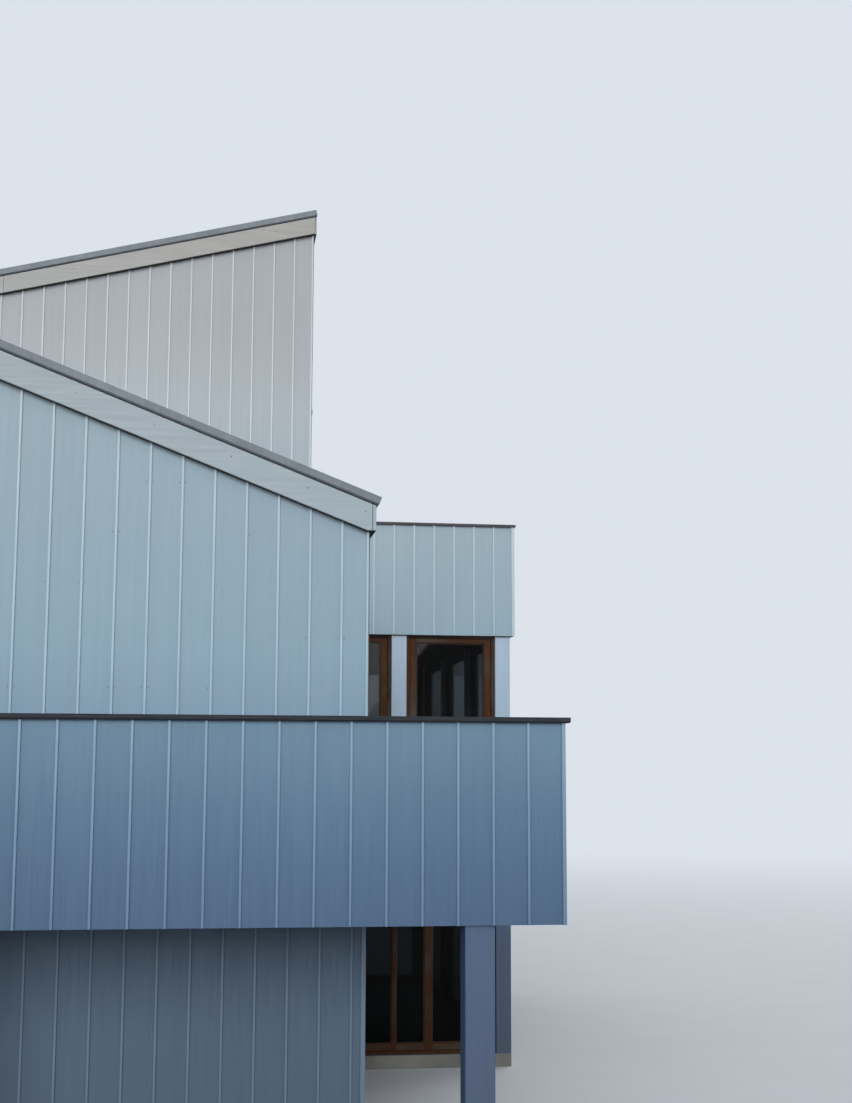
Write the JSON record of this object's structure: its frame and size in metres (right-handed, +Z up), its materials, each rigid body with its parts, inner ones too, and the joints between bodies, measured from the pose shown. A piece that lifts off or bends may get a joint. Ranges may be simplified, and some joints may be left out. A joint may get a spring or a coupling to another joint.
{
  "type": "beach house",
  "caption": "Timber beach house with boarded walls, opposed shed roofs, a flat roofed glazed box with a roof terrace, and a boarded deck on columns.",
  "frame": {"origin": "middle of the whole house's footprint, on the ground", "axes": "+Z up, +X towards the ocean side with the glazed box, -Y towards the front deck, along the direction of the pictured view"},
  "size_m": [10.156, 14.947, 10.4783],
  "materials": {
    "concrete": "trowelled concrete",
    "boarded_walls": "pale painted boards and battens, faintly streaked",
    "pale_trim": "pale painted rake and eave boards",
    "pale_posts": "white painted posts and columns",
    "roof_edge_metal": "folded zinc grey sheet, matt",
    "roofing": "grey roofing membrane, seamed",
    "floor_timber": "oiled floor boards over joists",
    "structural_timber": "rough sawn structural timber",
    "decking": "weathered deck boards",
    "dark_cap": "weathered dark cap boards",
    "window_timber": "oiled brown timber frames",
    "window_glass": "clear sealed glazing",
    "door_timber": "oiled brown boarded door"
  },
  "bodies": {
    "root": {"ground_slabs": "concrete", "front_wall": "boarded_walls", "front_ocean_wall": "boarded_walls", "front_land_wall": "boarded_walls", "middle_wall_sides": "boarded_walls", "middle_wall_spans": "boarded_walls", "far_wall": "boarded_walls", "back_land_wall": "boarded_walls", "upper_ocean_wall": "boarded_walls", "second_floor": "floor_timber", "upper_floor": "floor_timber", "box_posts": "pale_posts", "box_rim_beams": "pale_trim", "box_beams": "structural_timber", "box_front_band": "boarded_walls", "box_ocean_band": "boarded_walls", "box_far_band": "boarded_walls", "box_caps": "roof_edge_metal", "terrace_roof": "roofing", "front_roof": "roofing", "upper_roof": "roofing", "rake_boards": "pale_trim", "eave_boards": "pale_trim", "front_roof_edge": "roof_edge_metal", "upper_roof_edge": "roof_edge_metal", "deck_floor": "decking", "gallery_floor": "decking", "deck_joists": "structural_timber", "deck_beams": "structural_timber", "deck_columns": "pale_posts", "front_parapet": "boarded_walls", "ocean_parapet": "boarded_walls", "land_parapet": "boarded_walls", "deck_caps": "dark_cap", "ground_window_frames": "window_timber", "second_window_frames": "window_timber", "upper_window_frames": "window_timber", "ground_glass": "window_glass", "second_glass": "window_glass", "upper_glass": "window_glass", "entry_frame": "window_timber", "entry_door": "door_timber"}
  },
  "joints": []
}
